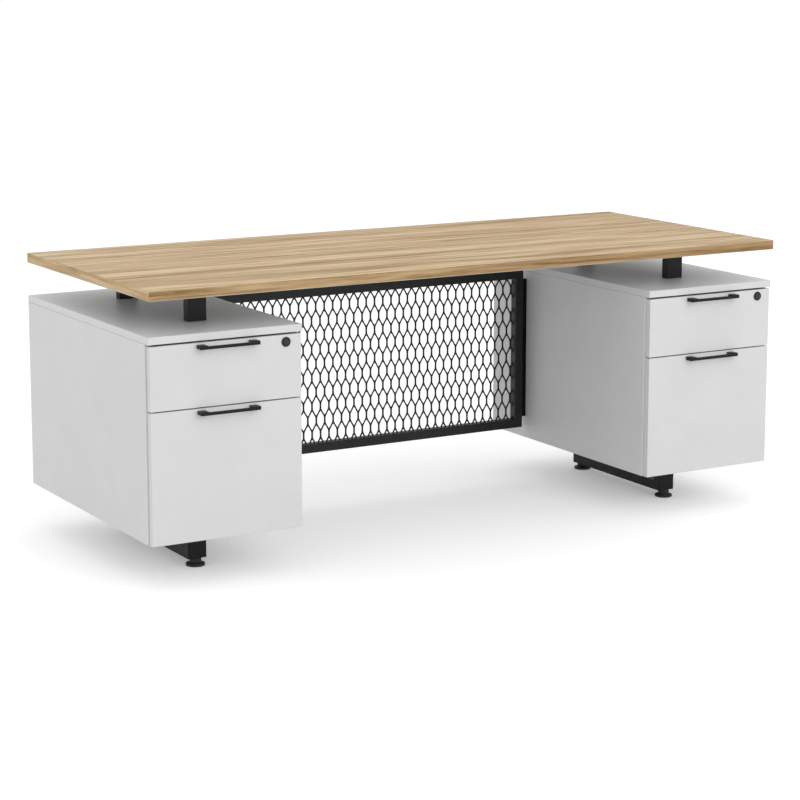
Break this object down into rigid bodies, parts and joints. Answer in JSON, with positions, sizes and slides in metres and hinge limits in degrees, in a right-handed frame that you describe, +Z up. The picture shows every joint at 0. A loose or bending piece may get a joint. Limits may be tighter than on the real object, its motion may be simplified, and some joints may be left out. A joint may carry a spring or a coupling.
{
  "type": "office desk",
  "caption": "Free-standing office desk: oak top on black risers over white drawer pedestals with locks, and a mesh privacy panel between them.",
  "frame": {"origin": "on the floor, under the middle of the whole desk, handles included", "axes": "+X to the user's right along the desktop, +Y to the back, +Z up"},
  "size_m": [1.829, 0.7774, 0.723],
  "materials": {
    "oak_laminate": "light oak laminate, satin",
    "white_laminate": "white laminate on board, satin",
    "black_steel": "black powder coat, fine texture",
    "zinc_steel": "bright zinc plate",
    "drawer_steel": "light grey powder coat",
    "black_lock": "black lacquer, semi-gloss",
    "black_plastic": "black moulded plastic"
  },
  "bodies": {
    "root": {"desktop": "oak_laminate", "privacy_panel_frame": "black_steel", "privacy_panel_mesh": "black_steel", "desktop_screws": "zinc_steel", "pedestal_bolts": "zinc_steel", "bracket_screws": "zinc_steel", "left_pedestal_top": "white_laminate", "left_pedestal_bottom": "white_laminate", "left_pedestal_outer_side": "white_laminate", "left_pedestal_inner_side": "white_laminate", "left_pedestal_back": "white_laminate", "left_riser_frame": "black_steel", "left_base_frame": "black_steel", "left_panel_bracket": "black_steel", "left_box_cabinet_slides": "zinc_steel", "left_file_cabinet_slides": "zinc_steel", "right_pedestal_top": "white_laminate", "right_pedestal_bottom": "white_laminate", "right_pedestal_outer_side": "white_laminate", "right_pedestal_inner_side": "white_laminate", "right_pedestal_back": "white_laminate", "right_riser_frame": "black_steel", "right_base_frame": "black_steel", "right_panel_bracket": "black_steel", "right_box_cabinet_slides": "zinc_steel", "right_file_cabinet_slides": "zinc_steel"},
    "left_box_drawer": {"left_box_drawer_front": "white_laminate", "left_box_drawer_handle": "black_steel", "left_box_drawer_box": "drawer_steel", "left_box_drawer_handle_screws": "zinc_steel", "left_box_drawer_slides": "zinc_steel", "left_lock_housing": "black_lock"},
    "left_box_middle_slides": {"left_box_middle_slides": "zinc_steel"},
    "left_file_drawer": {"left_file_drawer_front": "white_laminate", "left_file_drawer_handle": "black_steel", "left_file_drawer_box": "drawer_steel", "left_file_drawer_handle_screws": "zinc_steel", "left_file_drawer_slides": "zinc_steel"},
    "left_file_middle_slides": {"left_file_middle_slides": "zinc_steel"},
    "left_lock": {"left_lock_plug": "black_lock", "left_lock_cam": "zinc_steel"},
    "left_front_foot": {"left_front_foot": "black_plastic"},
    "left_rear_foot": {"left_rear_foot": "black_plastic"},
    "right_box_drawer": {"right_box_drawer_front": "white_laminate", "right_box_drawer_handle": "black_steel", "right_box_drawer_box": "drawer_steel", "right_box_drawer_handle_screws": "zinc_steel", "right_box_drawer_slides": "zinc_steel", "right_lock_housing": "black_lock"},
    "right_box_middle_slides": {"right_box_middle_slides": "zinc_steel"},
    "right_file_drawer": {"right_file_drawer_front": "white_laminate", "right_file_drawer_handle": "black_steel", "right_file_drawer_box": "drawer_steel", "right_file_drawer_handle_screws": "zinc_steel", "right_file_drawer_slides": "zinc_steel"},
    "right_file_middle_slides": {"right_file_middle_slides": "zinc_steel"},
    "right_lock": {"right_lock_plug": "black_lock", "right_lock_cam": "zinc_steel"},
    "right_front_foot": {"right_front_foot": "black_plastic"},
    "right_rear_foot": {"right_rear_foot": "black_plastic"}
  },
  "joints": [
    {"name": "left_box_drawer_slide", "type": "slide", "parent": "root", "child": "left_box_drawer", "axis": [0, -1, 0], "range_m": [0, 0.55]},
    {"name": "left_box_middle_slides_travel", "type": "slide", "parent": "root", "child": "left_box_middle_slides", "axis": [0, -1, 0], "range_m": [0, 0.275]},
    {"name": "left_file_drawer_slide", "type": "slide", "parent": "root", "child": "left_file_drawer", "axis": [0, -1, 0], "range_m": [0, 0.55]},
    {"name": "left_file_middle_slides_travel", "type": "slide", "parent": "root", "child": "left_file_middle_slides", "axis": [0, -1, 0], "range_m": [0, 0.275]},
    {"name": "left_lock_turn", "type": "hinge", "parent": "left_box_drawer", "child": "left_lock", "pos_m": [-0.5565, -0.36475, 0.573], "axis": [0, 1, 0], "range_deg": [0, 90]},
    {"name": "left_front_foot_turn", "type": "hinge", "parent": "root", "child": "left_front_foot", "pos_m": [-0.7135, -0.17425, 0], "axis": [0, 0, 1], "continuous": true},
    {"name": "left_rear_foot_turn", "type": "hinge", "parent": "root", "child": "left_rear_foot", "pos_m": [-0.7135, 0.21675, 0], "axis": [0, 0, 1], "continuous": true},
    {"name": "right_box_drawer_slide", "type": "slide", "parent": "root", "child": "right_box_drawer", "axis": [0, -1, 0], "range_m": [0, 0.55]},
    {"name": "right_box_middle_slides_travel", "type": "slide", "parent": "root", "child": "right_box_middle_slides", "axis": [0, -1, 0], "range_m": [0, 0.275]},
    {"name": "right_file_drawer_slide", "type": "slide", "parent": "root", "child": "right_file_drawer", "axis": [0, -1, 0], "range_m": [0, 0.55]},
    {"name": "right_file_middle_slides_travel", "type": "slide", "parent": "root", "child": "right_file_middle_slides", "axis": [0, -1, 0], "range_m": [0, 0.275]},
    {"name": "right_lock_turn", "type": "hinge", "parent": "right_box_drawer", "child": "right_lock", "pos_m": [0.8705, -0.36475, 0.573], "axis": [0, 1, 0], "range_deg": [0, 90]},
    {"name": "right_front_foot_turn", "type": "hinge", "parent": "root", "child": "right_front_foot", "pos_m": [0.7135, -0.17425, 0], "axis": [0, 0, 1], "continuous": true},
    {"name": "right_rear_foot_turn", "type": "hinge", "parent": "root", "child": "right_rear_foot", "pos_m": [0.7135, 0.21675, 0], "axis": [0, 0, 1], "continuous": true}
  ],
  "couplings": [
    {"joint": "left_box_middle_slides_travel", "follows": "left_box_drawer_slide", "ratio": 0.5},
    {"joint": "left_file_middle_slides_travel", "follows": "left_file_drawer_slide", "ratio": 0.5},
    {"joint": "right_box_middle_slides_travel", "follows": "right_box_drawer_slide", "ratio": 0.5},
    {"joint": "right_file_middle_slides_travel", "follows": "right_file_drawer_slide", "ratio": 0.5}
  ]
}
